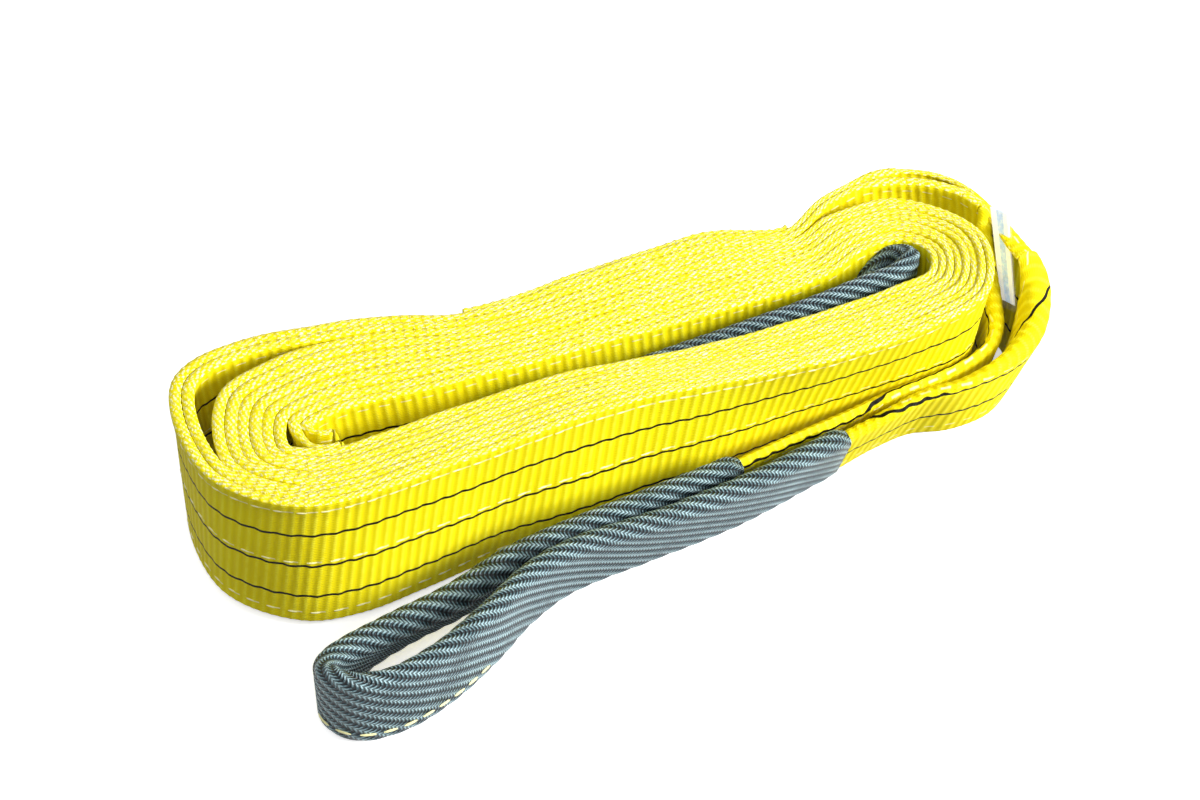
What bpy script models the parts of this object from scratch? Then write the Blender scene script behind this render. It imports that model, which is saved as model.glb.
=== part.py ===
"""Flat web sling: duplex polyester webbing with a sleeved eye at each end, wound on edge into a long coil.

Metres, +Z up. The floor is z = 0. +X runs along the coil to the end where the label is sewn in,
+Y is the side of the lapped splice, and -Y is the side where the outer eye lies.
The layout numbers below are millimetres; CENTRE_X and CENTRE_Y move them to the middle of the outline.
"""
import math

import bpy
import numpy as np

MM = 0.001

# ---- driving dimensions, millimetres ----
WEB_WIDTH = 90.0        # width of the webbing, which stands on edge
PLY = 3.0               # thickness of one ply
PLY_STEP = 4.1          # from the middle of one ply to the middle of the other
TURNS = 5               # turns of duplex webbing in the coil
DISH = 1.0              # each turn stands this much higher than the turn inside it
CENTRE_X = -9.12        # middle of the outline in layout numbers
CENTRE_Y = -68.81
FLOOR_LIFT = 0.31       # leaning webs reach this far below the line of their feet

FOLDED = 5.2            # thickness of an eye's web, folded lengthwise to half its width
SLEEVE_WALL = 1.2
OUTER_SLEEVE = (11.8, 4.5)      # thickness outside, and how far it rises above the eye's height
INNER_SLEEVE = (10.6, 2.6)
WEB_LIFT = 1.0          # outside a sleeve the folded web's foot stands this high
SLEEVE_LIFT = 4.4       # the web inside a sleeve stands this far above the sleeve's lower edge
TOP_GAP = 1.5           # and its top stays this much lower than outside the sleeve
OUTER_COVERED_X = (140.0, 100.0)    # where the web rises into the sleeve, outer and inner eye
INNER_COVERED_X = (-135.0, -115.0)

LAP_START_X = -84.0     # the lapped end of the web lies along the back between these
LAP_END_X = 118.0
LAP_LOW, LAP_HIGH = 1.0, 89.0
LAP_SEWN = (0.12, 0.88)         # shares of the web's height
LAP_LEGS = 16

THREAD = 1.0            # thickness of the sewing thread
STITCH_WIDTH = 1.6
STITCH_ROWS = (("upper", 0.92, 180.0), ("middle", 0.53, -10.0), ("lower", 0.08, -10.0))
ZIGZAG_STEPS = 3        # steps in each leg of a zigzag
THREAD_GAP = 0.8        # between a web and the thread that lies on it
THROAT_SAMPLES = (17, 11)
THROAT_SEWN = (0.15, 0.85)
THROAT_LEGS = 4

TAG_THICKNESS = 1.2
COVER_WALL = 0.5
COVER_CLEARANCE = 0.35
COVER_OVER = 3.0        # the cover reaches this far past the tag at each end

# The innermost turn, from the left end over the back, round the right end and along the front.
# x, y of its rim; the direction outwards; the pitch from turn to turn; how far the foot is tucked in;
# the number of steps to the next station.
STATIONS = (
    (-206, -42, -1.00, 0.00, 12.8, 0, 3),      # left end
    (-200, -26, -0.60, 0.80, 14.5, 0, 3),
    (-182, -21, -0.35, 0.94, 14.3, 0, 3),
    (-158, -22, -0.05, 1.00, 13.7, 0, 2),      # back
    (-128, -28, 0.15, 0.99, 12.5, 0, 2),
    (-97, -33, 0.15, 0.99, 10.3, 0, 2),
    (-60, -38, 0.08, 1.00, 10.0, -2, 2),
    (-20, -41, 0.03, 1.00, 10.8, -6, 2),
    (30, -46, 0.03, 1.00, 11.8, -12, 2),
    (75, -50, -0.02, 1.00, 12.0, -12, 2),
    (118, -51, -0.15, 0.99, 8.6, -8, 2),
    (148, -42, -0.05, 1.00, 8.6, 1, 3),
    (173, -45, 0.55, 0.84, 8.8, 3, 4),         # right end
    (184, -65, 1.00, 0.00, 8.9, 8, 4),
    (173, -84, 0.50, -0.87, 9.8, 14, 3),
    (145, -87, 0.05, -1.00, 10.8, 24, 2),      # front
    (108, -87, -0.02, -1.00, 10.7, 28, 2),
    (76, -85, -0.10, -1.00, 10.5, 26, 2),
    (45, -82, -0.15, -0.99, 9.6, 18, 2),
    (15, -77, -0.18, -0.98, 9.2, 9, 2),
    (-20, -69, -0.18, -0.98, 9.4, 3, 2),
    (-60, -62, -0.10, -1.00, 10.4, 0, 2),
    (-110, -60, 0.03, -1.00, 11.0, 5, 2),
    (-160, -59, 0.03, -1.00, 11.2, 2, 2),
    (-190, -58, -0.25, -0.97, 11.4, 0, 3),
    (-206.5, -52, -0.60, -0.80, 12.4, 0, 3),
)
LAST_BACK = 10                      # the station where the last turn leaves the back run
FRONT_SAMPLES = 24                  # steps along one front run
LOOSE_STEPS = 3                     # steps between the points of the loose ends
EYE_STEPS = 2                       # steps between the points of an eye
FULL_LEAN_TURN = 4                  # the outermost turn of the front pack carries the whole lean
FOOT_PITCH = 7.8                    # inside it, leaning turns close up to this pitch along their feet
FULL_LEAN = 20.0
LAST_TURN_BULGE = {1: 11.0, 2: 12.0, 3: 3.0}    # the last turn stands off the pack at the left end

# Where the innermost turn comes from: each ply's own first points, from the inner eye to the left end.
OUTER_PLY_START = ((-189.4, -50.8), (-194, -50.5), (-202.5, -44))
INNER_PLY_START = ((-188.8, -39.6), (-191.5, -39.3), (-196.5, -35.5))

# The last turn's wide loop at the right end: its middle at first, and then each ply on its own way
# to the outer eye: foot x and y, rim x and y.
LOOP_MIDDLE = ((149.5, -1.1), (169.5, 2.9))
OUTER_PLY_LOOP = (
    (188, 3.5, 190.5, 7),
    (203.5, -3, 207, 1.5),
    (217, -13.5, 222.3, -9.8),
    (227, -28, 233.8, -25.7),
    (231.5, -45, 239, -43.5),
    (232, -63, 241.5, -63.5),
    (236.2, -81.2, 236.2, -81.2),
)
INNER_PLY_LOOP = (
    (187, -1, 187.5, -0.8),
    (201.5, -8, 202.5, -6.5),
    (213, -18, 216, -16.5),
    (221, -30, 226, -28.5),
    (224.5, -43, 230.8, -43),
)

# The outer eye, from the outer ply's end round the tip to the inner ply's end.
# Foot x, foot y, crest x, crest y, height along the lean, height of the foot.
OUTER_EYE = (
    (236.2, -83.8, 236.2, -83.8, 86, 0),
    (230, -92, 241, -93.5, 78, 0),
    (222, -97.5, 241, -102, 69, 0),
    (210, -106.5, 228, -118, 59, 0),
    (190, -116.5, 203, -128, 52, 0),
    (166, -116.5, 169, -130, 47, 0),
    (142, -110, 143, -127, 45, 2),
    (117, -111, 118, -129, 44, 2),
    (91, -114.5, 91, -131, 44, 0),
    (60, -119.5, 61, -135.5, 44, 0),
    (13, -126, 13, -141, 44, 0),
    (-40, -127, -40, -142, 44, 0),
    (-90, -128.5, -90, -140, 44, 0),
    (-123, -140, -123, -147, 44, 0),
    (-157, -159, -157, -163, 44, 0),
    (-190, -173, -190, -176, 44, 0),
    (-220, -178.5, -220, -181, 44, 0),
    (-240, -173, -241, -176, 45, 0),
    (-247.5, -159, -249.5, -162, 44, 0),
    (-241, -145, -244, -149.5, 38, 1),
    (-221, -133.5, -224, -140, 29, 5),
    (-192, -126, -194, -134, 23, 8),
    (-160, -121, -161, -129.5, 22, 8),
    (-122, -114, -122, -125, 31, 7),
    (-90, -111, -90, -124.5, 39, 3),
    (-40, -110, -40, -125, 44, 0),
    (13, -109, 13, -123.5, 44, 0),
    (50, -106, 50, -120.5, 44, 0),
    (90, -102.5, 90, -118, 44, 0),
    (128, -101.8, 128, -116, 44, 0),
    (160, -105.4, 160, -116, 44, 0),
    (180, -104, 182, -114, 45, 0),
    (193, -98.5, 199, -108, 46, 0),
    (203.5, -88, 212, -95, 48, 0),
    (210.5, -76.5, 218.5, -80, 54, 0),
    (217, -62, 223.5, -64, 67, 0),
    (221, -52, 226.5, -53.5, 78, 0),
    (224, -45, 230, -45, 88, 0),
)
OUTER_SLEEVE_MOUTHS = (88.0, 24.0)      # where the sleeve's mouths are on the front and rear legs
EYE_HINGE = (236.2, -82.6)               # the outer eye swings where the outer ply ends
HEM_SHARES = (0.38, 0.58)               # the hem thread runs between these shares of the eye
HEM_UP = 0.75                           # of the sleeve's thickness
HEM_GAP = 0.3

# The inner eye, from the outer ply's end along its upper leg, round the tip and back along its lower leg.
# Foot x, foot y, crest x, crest y, height along the lean, height of the foot.
INNER_EYE = (
    (-188.3, -50.8, -188.3, -50.8, 88, 0),
    (-178, -51, -178, -51, 66, 6),
    (-160, -51.5, -160, -51.5, 42, 32),
    (-138, -50, -138, -50, 36, 39),
    (-112, -47.5, -112, -47.5, 36, 40.5),
    (-60, -50, -60, -50.5, 36, 40.5),
    (-20, -57, -20, -58.5, 36, 40.5),
    (20, -62, 20, -66, 37, 41.5),
    (70, -64.5, 70, -73, 39, 43.6),
    (110, -67, 110, -76.5, 41, 45.6),
    (138, -67.8, 140, -77, 41, 45),
    (154, -70, 157, -76, 41, 44),
    (167, -63.5, 170.5, -66, 41, 42),
    (162, -53.8, 164, -55, 41, 37),
    (148, -52.2, 150, -53.2, 41, 28),
    (130, -55, 130, -56, 41, 10),
    (112, -54.2, 112, -57, 41, 0.7),
    (90, -52.5, 90, -55.5, 41, 0.7),
    (50, -53.5, 50, -55.5, 39, 0.7),
    (20, -53, 20, -55.5, 37, 0.7),
    (-20, -52.5, -20, -54, 36, 0.7),
    (-60, -50.5, -60, -50.5, 36, 0.7),
    (-112, -46.5, -112, -46.5, 36, 0.7),
    (-138, -42.2, -138, -42.2, 38, 0),
    (-160, -41.5, -160, -41.5, 43, 0),
    (-178, -40.8, -178, -40.8, 64, 0),
    (-187.5, -39.5, -187.5, -39.5, 88, 0),
)
INNER_SLEEVE_END_X = -106.0

# The label is a leaning panel between these two lines, x and y, at its upper and its lower level.
# It hangs by its first edge, and the hinge stands in the middle of that edge.
TAG_TOP = ((229.4, -54.6), (232.2, -59.5), (234.6, -64.9))
TAG_FOOT = ((227.5, -76.0), (229.6, -80.2), (231.2, -84.8))
TAG_LEVELS = (42.0, 96.0)
LABEL_HINGE = (228.5, -65.3)

COLOURS = {
    "webbing": (0.80, 0.72, 0.01, 0.55, 0.0),
    "sleeve": (0.12, 0.19, 0.21, 0.60, 0.0),
    "tag": (0.30, 0.50, 0.80, 0.45, 0.0),
    "cover": (0.85, 0.88, 0.90, 0.15, 0.0),
    "thread": (0.85, 0.82, 0.45, 0.60, 0.0),
}


def clear_scene():
    for thing in list(bpy.data.objects):
        bpy.data.objects.remove(thing, do_unlink=True)


def material(slot, node):
    red, green, blue, roughness, metallic = COLOURS[slot]
    made = bpy.data.materials.new(node + "_" + slot)
    made.use_nodes = True
    shader = made.node_tree.nodes["Principled BSDF"]
    shader.inputs["Base Color"].default_value = (red, green, blue, 1.0)
    shader.inputs["Roughness"].default_value = roughness
    shader.inputs["Metallic"].default_value = metallic
    return made


def spline(controls, steps):
    """Centripetal Catmull-Rom through the controls; the first two columns set the pace."""
    controls = np.asarray(controls, float)
    first = 2 * controls[0] - controls[1]
    last = 2 * controls[-1] - controls[-2]
    padded = np.vstack([first, controls, last])
    gaps = np.sqrt(np.linalg.norm(np.diff(padded[:, :2], axis=0), axis=1))
    knots = np.concatenate([[0.0], np.cumsum(gaps)])
    found = []
    for i in range(1, len(padded) - 2):
        t0, t1, t2, t3 = knots[i - 1:i + 3]
        p0, p1, p2, p3 = padded[i - 1:i + 3]
        count = steps[i - 1] if hasattr(steps, "__len__") else steps
        for j in range(count):
            t = t1 + (t2 - t1) * j / count
            a1 = (t1 - t) / (t1 - t0) * p0 + (t - t0) / (t1 - t0) * p1
            a2 = (t2 - t) / (t2 - t1) * p1 + (t - t1) / (t2 - t1) * p2
            a3 = (t3 - t) / (t3 - t2) * p2 + (t - t2) / (t3 - t2) * p3
            b1 = (t2 - t) / (t2 - t0) * a1 + (t - t0) / (t2 - t0) * a2
            b2 = (t3 - t) / (t3 - t1) * a2 + (t - t1) / (t3 - t1) * a3
            found.append((t2 - t) / (t2 - t1) * b1 + (t - t1) / (t2 - t1) * b2)
    found.append(padded[-2])
    return np.array(found)


def coil_station(turn, index):
    """Rim x, y, foot x, y and lift of one station, in the middle between the two plies."""
    x, y, out_x, out_y, pitch, lean, _ = STATIONS[index]
    out = pitch * (turn - 1)
    if turn == TURNS:
        out += LAST_TURN_BULGE.get(index, 0.0)
    spare = max(pitch - FOOT_PITCH, 0.0) * min(max(lean, 0.0) / FULL_LEAN, 1.0)
    tuck = lean - spare * (FULL_LEAN_TURN - turn)
    rim = (x + out_x * out, y + out_y * out)
    foot = (rim[0] - out_x * tuck, rim[1] - out_y * tuck)
    return (*rim, *foot, DISH * (turn - 1))


def offset_line(points, offset):
    """Points of a plan line moved sideways, to the left of travel for a positive offset."""
    points = np.asarray(points, float)
    along = np.gradient(points[:, :2], axis=0)
    along /= np.linalg.norm(along, axis=1)[:, None]
    moved = points.copy()
    moved[:, 0] -= along[:, 1] * offset
    moved[:, 1] += along[:, 0] * offset
    return moved


def ply_line(side):
    """Rim, foot and lift along one ply (side +1 outer, -1 inner), and the row where its last turn starts."""
    controls = []
    steps = []
    for turn in range(1, TURNS + 1):
        before_last = sum(steps)
        for index in range(len(STATIONS)):
            if turn == TURNS and index > LAST_BACK:
                break
            controls.append(coil_station(turn, index))
            steps.append(STATIONS[index][6])
    lift = DISH * (TURNS - 1)
    for x, y in LOOP_MIDDLE:
        controls.append((x, y, x, y, lift))
        steps.append(LOOSE_STEPS)
    coil = spline(controls, steps[:-1])
    for columns in ((0, 2), (2, 4)):
        coil[:, slice(*columns)] = offset_line(coil[:, slice(*columns)], side * PLY_STEP / 2)
    coil = coil[LOOSE_STEPS:]
    start = OUTER_PLY_START if side > 0 else INNER_PLY_START
    lead = [(x, y, x, y, 0.0) for x, y in start]
    first = spline(lead + [coil[0], coil[1]], LOOSE_STEPS)[:LOOSE_STEPS * len(lead)]
    loop = OUTER_PLY_LOOP if side > 0 else INNER_PLY_LOOP
    trail = []
    for i, (foot_x, foot_y, rim_x, rim_y) in enumerate(loop):
        trail.append((rim_x, rim_y, foot_x, foot_y, lift * (1.0 - i / (len(loop) - 1))))
    last = spline([coil[-2], coil[-1]] + trail, LOOSE_STEPS)[LOOSE_STEPS + 1:]
    return np.vstack([first, coil, last]), before_last + len(first)


def to_world(x, y, z):
    return ((x - CENTRE_X) * MM, (y - CENTRE_Y) * MM, (z + FLOOR_LIFT) * MM)


def grid_object(name, rows, slot, wall, offset=0.0, closed_round=False):
    """A strip or tube from rows of points, given thickness by Solidify."""
    mesh = bpy.data.meshes.new(name)
    across = len(rows[0])
    points = [to_world(*point) for row in rows for point in row]
    faces = []
    for i in range(len(rows) - 1):
        for j in range(across if closed_round else across - 1):
            k = (j + 1) % across
            faces.append((i * across + j, i * across + k, (i + 1) * across + k, (i + 1) * across + j))
    mesh.from_pydata(points, [], faces)
    thing = bpy.data.objects.new(name, mesh)
    PARTS.objects.link(thing)
    solid = thing.modifiers.new("Solidify", "SOLIDIFY")
    solid.thickness = wall * MM
    solid.offset = offset
    solid.use_even_offset = not closed_round
    mesh.materials.append(material(slot, name))
    mesh.shade_smooth()
    mesh.set_sharp_from_angle(angle=math.radians(40))
    return thing


def flat_strip(name, line, low, high, slot, wall):
    """A web on edge: line rows are rim x, y, foot x, y and lift."""
    rows = []
    for rim_x, rim_y, foot_x, foot_y, lift in line:
        rows.append([(foot_x, foot_y, low + lift), (rim_x, rim_y, high + lift)])
    return grid_object(name, rows, slot, wall)


def section_frames(controls, steps):
    """Foot, unit vector up the lean, unit vector to the right of travel, and height for each section."""
    padded = [row if len(row) == 6 else (*row, 0.0) for row in controls]
    line = spline(padded, steps)
    middle = (line[:, 0:2] + line[:, 2:4]) / 2
    along = np.gradient(middle, axis=0)
    frames = []
    for (foot_x, foot_y, crest_x, crest_y, height, foot_z), (dx, dy) in zip(line, along):
        shift = np.array([crest_x - foot_x, crest_y - foot_y])
        rise = math.sqrt(max(height ** 2 - shift @ shift, 1.0))
        up = np.array([shift[0], shift[1], rise]) / height
        right = np.array([dy, -dx, 0.0]) / math.hypot(dx, dy)
        right = right - up * (right @ up)
        frames.append((np.array([foot_x, foot_y, foot_z]), up, right / np.linalg.norm(right), height))
    return frames


def folded_web(name, controls, sleeved):
    """The eye's web, folded lengthwise so that its two layers stand side by side as one thick strip."""
    rows = []
    for foot, up, _, height in section_frames(controls, EYE_STEPS):
        lift = WEB_LIFT + (SLEEVE_LIFT - WEB_LIFT) * sleeved(foot[0])
        rows.append([foot + up * lift, foot + up * (height - TOP_GAP * sleeved(foot[0]))])
    return grid_object(name, rows, "webbing", FOLDED)


def sleeve(name, controls, size, mouth):
    """A woven tube over the folded web, open at both mouths; where the web is lower, so is the sleeve."""
    thickness, over = size
    frames = section_frames(controls, EYE_STEPS)
    kept = [i for i, (foot, *_) in enumerate(frames) if mouth(i / len(frames), foot)]
    rows = []
    for i in range(kept[0], kept[-1] + 1):
        foot, up, right, height = frames[i]
        radius = thickness / 2
        row = []
        for centre, first in ((radius, 180), (height + over - radius, 0)):
            for step in range(5):
                angle = math.radians(first + 45 * step)
                row.append(foot + up * (centre + radius * math.sin(angle)) + right * radius * math.cos(angle))
        rows.append(row)
    return grid_object(name, rows, "sleeve", SLEEVE_WALL, offset=1.0, closed_round=True)


def lap_tail():
    """The web's end, lapped on the outside of the last back run as a third ply."""
    line, last_turn = ply_line(3)
    back = [row for row in line[last_turn:] if LAP_START_X <= row[0] <= LAP_END_X]
    back = np.array(back)
    flat_strip("lap_tail_ply", back, LAP_LOW, LAP_HIGH, "webbing", PLY)
    return back


def on_web(line, place, share, gap):
    """A point on the outside of a web, a given distance along its rim and share of its height up."""
    rim = offset_line(line[:, 0:2], gap)
    foot = offset_line(line[:, 2:4], gap)
    total = np.concatenate([[0], np.cumsum(np.linalg.norm(np.diff(rim, axis=0), axis=1))])
    across = foot + (rim - foot) * share
    x = np.interp(place * total[-1], total, across[:, 0])
    y = np.interp(place * total[-1], total, across[:, 1])
    z = np.interp(place * total[-1], total, line[:, 4]) + WEB_WIDTH * share
    return x, y, z


def zigzag_thread(name, line, count, low_share, high_share, gap):
    """A thread lying on the outside of a web, sewn up and down its height."""
    points = []
    for leg in range(count):
        for part in range(ZIGZAG_STEPS + 1):
            rise = part / ZIGZAG_STEPS
            height = rise if leg % 2 == 0 else 1.0 - rise
            share = low_share + (high_share - low_share) * height
            points.append(on_web(line, leg / (count - 1), share, gap))
    return wire(name, points, "thread")


def wire(name, points, slot):
    curve = bpy.data.curves.new(name, "CURVE")
    curve.dimensions = "3D"
    curve.bevel_depth = THREAD / 2 * MM
    curve.bevel_resolution = 0
    curve.use_fill_caps = True
    path = curve.splines.new("POLY")
    path.points.add(len(points) - 1)
    for target, point in zip(path.points, points):
        target.co = (*to_world(*point), 1.0)
    curve.materials.append(material(slot, name))
    thing = bpy.data.objects.new(name, curve)
    PARTS.objects.link(thing)
    return thing


def stitch_row(name, line, share, gap):
    """A lengthwise row of stitching on the exposed outside of the coil, as one flat strip of thread."""
    rim = offset_line(line[:, 0:2], gap)
    foot = offset_line(line[:, 2:4], gap)
    rows = []
    for i in range(len(line)):
        row = []
        for height in (WEB_WIDTH * share - STITCH_WIDTH / 2, WEB_WIDTH * share + STITCH_WIDTH / 2):
            at = foot[i] + (rim[i] - foot[i]) * height / WEB_WIDTH
            row.append((at[0], at[1], height + line[i, 4]))
        rows.append(row)
    return grid_object(name, rows, "thread", THREAD * 0.6)


def label():
    """A printed tag in a clear cover, leaning and sewn in by its first edge where the outer eye begins."""
    line = np.hstack([spline(TAG_TOP, 4), spline(TAG_FOOT, 4)])
    low, high = TAG_LEVELS
    shift = (line[:, 0:2] - line[:, 2:4]) / (high - low)

    def panel(name, rows, slopes, below, above, slot, wall):
        grid = []
        for (top_x, top_y, foot_x, foot_y), (slope_x, slope_y) in zip(rows, slopes):
            grid.append([(foot_x - slope_x * below, foot_y - slope_y * below, low - below),
                         (top_x + slope_x * above, top_y + slope_y * above, high + above)])
        return grid_object(name, grid, slot, wall)

    tag = panel("label_tag", line, shift, 0.0, 0.0, "tag", TAG_THICKNESS)
    away = TAG_THICKNESS / 2 + COVER_CLEARANCE + COVER_WALL / 2
    sides = [np.hstack([offset_line(line[:, 0:2], gap), offset_line(line[:, 2:4], gap)])
             for gap in (away, -away)]
    heading = (line[-1] - line[-2]) / np.linalg.norm(line[-1, 0:2] - line[-2, 0:2])
    around = np.vstack([sides[0], line[-1] + heading * (away + COVER_CLEARANCE), sides[1][::-1]])
    slopes = np.vstack([shift, shift[-1], shift[::-1]])
    cover = panel("label_cover", around, slopes, COVER_OVER, COVER_OVER, "cover", COVER_WALL)
    return tag, cover


def exposed_run(line, last_turn, from_x):
    """The part of the outer ply that shows its outside: the front run, the left end and the way to the lap."""
    start = last_turn - FRONT_SAMPLES
    while line[start][0] > from_x:
        start += 1
    end = last_turn
    while line[end][0] < LAP_START_X - 8.0:
        end += 1
    return line[start:end]


def hem_thread(name, controls, size, low, high):
    """A thread along the outside of a sleeve near its lower edge, round the tip of the eye."""
    frames = section_frames(controls, EYE_STEPS)
    points = []
    for i in range(int(len(frames) * low), int(len(frames) * high)):
        foot, up, right, _ = frames[i]
        points.append(foot + up * size[0] * HEM_UP - right * (size[0] / 2 + THREAD / 2 + HEM_GAP))
    return wire(name, points, "thread")


def hang_on(name, place, children):
    """An empty on a hinge axis, carrying the pieces that turn about it."""
    axis = bpy.data.objects.new(name, None)
    axis.location = to_world(*place, 0.0)
    PARTS.objects.link(axis)
    bpy.context.view_layer.update()
    for child in children:
        child.parent = axis
        child.matrix_parent_inverse = axis.matrix_world.inverted()


def ramp(value, start, end):
    share = min(max((value - start) / (end - start), 0.0), 1.0)
    return share * share * (3.0 - 2.0 * share)


def main():
    outer, last_turn = ply_line(+1)
    inner, _ = ply_line(-1)
    flat_strip("body_outer_ply", outer, 0.0, WEB_WIDTH, "webbing", PLY)
    flat_strip("body_inner_ply", inner, 0.0, WEB_WIDTH, "webbing", PLY)
    lap = lap_tail()
    on_face = PLY / 2 + THREAD / 2 + THREAD_GAP
    zigzag_thread("lap_stitching", lap, LAP_LEGS, *LAP_SEWN, on_face)
    for row, share, from_x in STITCH_ROWS:
        stitch_row("stitch_row_" + row, exposed_run(outer, last_turn, from_x), share, on_face)
    throat = outer[len(outer) - THROAT_SAMPLES[0]:len(outer) - THROAT_SAMPLES[1]]
    zigzag_thread("throat_stitching", throat, THROAT_LEGS, *THROAT_SEWN, on_face)

    web = folded_web("outer_eye_web", OUTER_EYE, lambda x: ramp(-x, *[-place for place in OUTER_COVERED_X]))
    cover = sleeve("outer_eye_sleeve", OUTER_EYE, OUTER_SLEEVE,
                   lambda share, foot: foot[0] < OUTER_SLEEVE_MOUTHS[0 if share < 0.5 else 1])
    hem = hem_thread("outer_sleeve_hem_stitch", OUTER_EYE, OUTER_SLEEVE, *HEM_SHARES)
    hang_on("outer_eye_axis", EYE_HINGE, (web, cover, hem))

    folded_web("inner_eye_web", INNER_EYE, lambda x: ramp(x, *INNER_COVERED_X))
    sleeve("inner_eye_sleeve", INNER_EYE, INNER_SLEEVE, lambda share, foot: foot[0] > INNER_SLEEVE_END_X)
    hang_on("label_axis", LABEL_HINGE, label())


clear_scene()
PARTS = bpy.data.collections.new("flat_web_sling")
bpy.context.scene.collection.children.link(PARTS)
main()
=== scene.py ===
"""Looks of a flat web sling wound on edge: ribbed yellow webbing, woven sleeves, sewing and a label."""
import math

import bpy
import numpy as np
from mathutils import Matrix, Vector


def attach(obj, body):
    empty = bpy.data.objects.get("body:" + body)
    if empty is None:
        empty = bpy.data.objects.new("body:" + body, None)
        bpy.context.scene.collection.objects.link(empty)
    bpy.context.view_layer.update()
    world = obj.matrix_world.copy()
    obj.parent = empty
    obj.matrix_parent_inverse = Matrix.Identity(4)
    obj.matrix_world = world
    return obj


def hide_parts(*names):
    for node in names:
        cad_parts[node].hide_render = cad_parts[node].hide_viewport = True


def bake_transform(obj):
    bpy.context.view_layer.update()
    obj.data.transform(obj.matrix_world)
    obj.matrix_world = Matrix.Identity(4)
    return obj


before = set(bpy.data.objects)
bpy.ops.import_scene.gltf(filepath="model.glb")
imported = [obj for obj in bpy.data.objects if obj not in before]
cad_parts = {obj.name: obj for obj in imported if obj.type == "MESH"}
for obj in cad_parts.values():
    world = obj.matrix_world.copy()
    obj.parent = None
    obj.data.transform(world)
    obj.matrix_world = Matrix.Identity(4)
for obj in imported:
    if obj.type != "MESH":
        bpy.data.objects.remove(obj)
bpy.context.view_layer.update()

# ---- sizes, millimetres
MM = 0.001
LAYOUT_ZERO = np.array([9.12, 68.81, 0.31])     # where the zero of the plan numbers lies in the frame
WEB_WIDTH = 90.0
PLY_STEP = 4.1              # from the middle of one ply to the middle of the other
PLY_HALF = 1.75             # half the thickness of one ply
TURNS = 5
DISH = 1.0                  # rise of the rims from one turn to the next
CAP = 1.6                   # height of a web's rounded edge
WIDEST_RIM = 3.7            # half the width of the widest selvedge
ALONG = 1.6                 # mesh step along a web
FINE = 6                    # curve points in each step that the tables count
FOLD_RADIUS = 2.0           # of the fold inside the sleeves
LOOSE_FOLD = 7.0            # of the rolled edge round the loop
FULL_ROLL = (10.0, 12.0)    # lengths of rolled web at which its radius and its base are complete
HANG_CLEARANCE = 8.0        # of the rolled edge above the foot
LEAST_HANG = 4.0
FLANK_PARTS = np.linspace(0.0, 1.0, 10)[:-1]    # mesh rows up the flank and over the roll
ROLL_PARTS = np.linspace(0.0, 1.0, 15)
LAP_START_X = -84.0
LAP_END_X = 120.0
LAP_OUTWARD = 1.95          # from the covered ply's face to the middle of the lap
LAP_WIDTH = 88.0
LAP_FOOT = 1.0
ROLLED_END = 105.0          # length of the outer ply's end that rolls inwards
ROLLED_HEIGHT = 79.0        # its height where the eye begins
RIB_PITCH = 5.9             # transverse ribs of the webbing
RIB_SLANT = 0.14
RIB_HEIGHT = 0.15
RIB_FADE = (1.0, 6.0)       # distances from the edge between which the ribs begin
BELLY = 0.35                # how far a web strays sideways between its edges
RIM_WANDER = 0.55           # how far its upper edge strays up and down
EDGE_ANGLES = (25, 55, 90, 125, 155)    # places of the mesh round a selvedge
EDGE_SPARE = 0.1            # between the selvedges of neighbouring turns
CAP_REACH = 1.15            # the most that an edge stands out, in half thicknesses
RIM_SWELL = (0.9, 0.985)    # shares of the height between which the upper edge swells
FOOT_SWELL = 0.25           # of the lower edge
RIM_WAVES = (41.0, 77.0, 139.0)
BELLY_WAVES = (63.0, 118.0, 210.0)
HEIGHT_SHARES = np.array([0, 0.02, 0.06, 0.14, 0.23, 0.32, 0.41, 0.5,
                          0.59, 0.68, 0.77, 0.86, 0.92, 0.955, 0.98, 1])
SHARP_ANGLE = 65.0          # degrees; flatter edges are shaded smooth
PIP_PITCH = 5.6             # pale yarns along the selvedge
STITCH_PITCH = 12.5
STITCH_DASH = 5.0
STITCH_PROUD = 0.05
STITCH_PARTS = (0.0, 0.25, 0.5, 0.75, 1.0)
STITCH_ROWS = (0.08, 0.505, 0.93)       # shares of the web's width
STITCH_FROM_X = (-10.0, -10.0, 180.0)   # where each row comes out from under the outer eye
THROAT = (128.0, 84.0)                  # its sewing, as distances before the outer ply's end
STRIPES = (19.5, 42.5, 65.5)            # heights of the black marker yarns

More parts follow.
